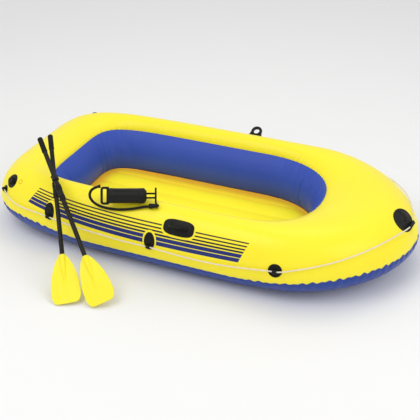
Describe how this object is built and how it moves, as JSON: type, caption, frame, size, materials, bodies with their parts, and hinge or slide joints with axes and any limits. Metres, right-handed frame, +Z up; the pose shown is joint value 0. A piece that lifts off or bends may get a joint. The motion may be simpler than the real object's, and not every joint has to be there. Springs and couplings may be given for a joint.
{
  "type": "inflatable boat",
  "caption": "Inflatable two-seat rowing boat with welded vinyl tubes, air floor, oarlocks, grab lines, valves, a pair of two-piece oars and a hand pump with hose.",
  "frame": {"origin": "middle of the flat hull bottom", "axes": "+X to the bow along the keel line, +Y to port, +Z up"},
  "size_m": [2.3599, 1.652, 0.6044],
  "materials": {
    "yellow_vinyl": "welded vinyl film, soft gloss",
    "blue_vinyl": "welded vinyl film, soft gloss",
    "inner_vinyl": "welded vinyl film",
    "white_rope": "braided",
    "yellow_blade": "moulded, smooth",
    "black_shaft": "drawn tube, satin",
    "black_grip": "moulded, matt",
    "black_hose": "ribbed, matt",
    "black_plastic": "moulded, satin",
    "black_valve": "moulded, matt",
    "black_rubber": "moulded, matt"
  },
  "bodies": {
    "root": {"aft_lug_port": "black_rubber", "aft_lug_starboard": "black_rubber", "bottom_sheet": "blue_vinyl", "bow_handle": "black_rubber", "chamber_divider": "inner_vinyl", "floor_sheet": "yellow_vinyl", "floor_valve_base": "black_valve", "floor_webs": "inner_vinyl", "grab_line_port": "white_rope", "grab_line_starboard": "white_rope", "inner_chamber_valve_base": "black_valve", "inner_wall_bow": "blue_vinyl", "inner_wall_port": "blue_vinyl", "inner_wall_starboard": "blue_vinyl", "inner_wall_stern": "blue_vinyl", "line_clip_port": "black_rubber", "line_clip_starboard": "black_rubber", "lower_skin_bow": "blue_vinyl", "lower_skin_port": "blue_vinyl", "lower_skin_starboard": "blue_vinyl", "lower_skin_stern": "blue_vinyl", "middle_lug_port": "black_rubber", "middle_lug_starboard": "black_rubber", "oarlock_port": "black_rubber", "oarlock_starboard": "black_rubber", "outer_chamber_valve_base": "black_valve", "stern_lug_port": "black_rubber", "stern_lug_starboard": "black_rubber", "top_skin_bow": "yellow_vinyl", "top_skin_port": "yellow_vinyl", "top_skin_starboard": "yellow_vinyl", "top_skin_stern": "yellow_vinyl"},
    "outer_chamber_valve_insert": {"outer_chamber_valve_insert": "black_valve"},
    "outer_chamber_valve_cap": {"outer_chamber_valve_cap": "black_valve"},
    "inner_chamber_valve_insert": {"inner_chamber_valve_insert": "black_valve"},
    "inner_chamber_valve_cap": {"inner_chamber_valve_cap": "black_valve"},
    "floor_valve_insert": {"floor_valve_insert": "black_valve"},
    "floor_valve_cap": {"floor_valve_cap": "black_valve"},
    "front_oar_lower": {"front_oar_blade": "yellow_blade", "front_oar_lower_shaft": "black_shaft", "front_oar_sleeve": "black_grip"},
    "front_oar_upper": {"front_oar_upper_shaft": "black_shaft", "front_oar_stopper_ring": "black_grip", "front_oar_grip_cap": "black_grip"},
    "rear_oar_lower": {"rear_oar_blade": "yellow_blade", "rear_oar_lower_shaft": "black_shaft", "rear_oar_sleeve": "black_grip"},
    "rear_oar_upper": {"rear_oar_upper_shaft": "black_shaft", "rear_oar_stopper_ring": "black_grip", "rear_oar_grip_cap": "black_grip"},
    "pump": {"pump_barrel": "black_plastic", "pump_front_cap": "black_plastic", "pump_foot_loop": "black_plastic", "pump_hose_outlet": "black_plastic", "pump_hose": "black_hose", "hose_nozzle": "black_plastic", "nozzle_adapter": "black_plastic"},
    "pump_rod": {"pump_rods": "black_plastic", "pump_handle": "black_plastic", "pump_piston": "black_plastic"}
  },
  "joints": [
    {"name": "outer_chamber_valve_unscrew", "type": "hinge", "parent": "root", "child": "outer_chamber_valve_insert", "pos_m": [-1.00184, -0.46799, 0.31133], "axis": [-0.4119, -0.67, 0.6175], "range_deg": [0, 270]},
    {"name": "outer_chamber_valve_cap_flip", "type": "hinge", "parent": "outer_chamber_valve_insert", "child": "outer_chamber_valve_cap", "pos_m": [-0.9859, -0.4898, 0.31936], "axis": [0.3234, 0.5261, 0.7865], "range_deg": [0, 120]},
    {"name": "inner_chamber_valve_unscrew", "type": "hinge", "parent": "root", "child": "inner_chamber_valve_insert", "pos_m": [-1.00184, 0.46799, 0.31133], "axis": [-0.4119, 0.67, 0.6175], "range_deg": [0, 270]},
    {"name": "inner_chamber_valve_cap_flip", "type": "hinge", "parent": "inner_chamber_valve_insert", "child": "inner_chamber_valve_cap", "pos_m": [-0.9859, 0.4898, 0.31936], "axis": [-0.3234, 0.5261, -0.7865], "range_deg": [0, 120]},
    {"name": "floor_valve_unscrew", "type": "hinge", "parent": "root", "child": "floor_valve_insert", "pos_m": [-0.64, 0, 0.057], "axis": [0, 0, 1], "range_deg": [0, 270]},
    {"name": "floor_valve_cap_flip", "type": "hinge", "parent": "floor_valve_insert", "child": "floor_valve_cap", "pos_m": [-0.615, 0, 0.07], "axis": [0, 1, 0], "range_deg": [0, 120]},
    {"name": "front_oar_lift", "type": "slide", "parent": "root", "child": "front_oar_lower", "axis": [0.3337, -0.7994, 0.4996], "range_m": [0, 0.3]},
    {"name": "front_oar_pull_apart", "type": "slide", "parent": "front_oar_lower", "child": "front_oar_upper", "axis": [-0.6372, 0.5181, 0.5706], "range_m": [0, 0.12]},
    {"name": "rear_oar_lift", "type": "slide", "parent": "root", "child": "rear_oar_lower", "axis": [-0.8, 0, 0.6], "range_m": [0, 0.3]},
    {"name": "rear_oar_pull_apart", "type": "slide", "parent": "rear_oar_lower", "child": "rear_oar_upper", "axis": [-0.4709, 0.6917, 0.5475], "range_m": [0, 0.12]},
    {"name": "pump_lift", "type": "slide", "parent": "root", "child": "pump", "axis": [0, 0, 1], "range_m": [0, 0.3]},
    {"name": "pump_stroke", "type": "slide", "parent": "pump", "child": "pump_rod", "axis": [0.9228, 0.3853, 0], "range_m": [-0.038, 0.1]}
  ]
}
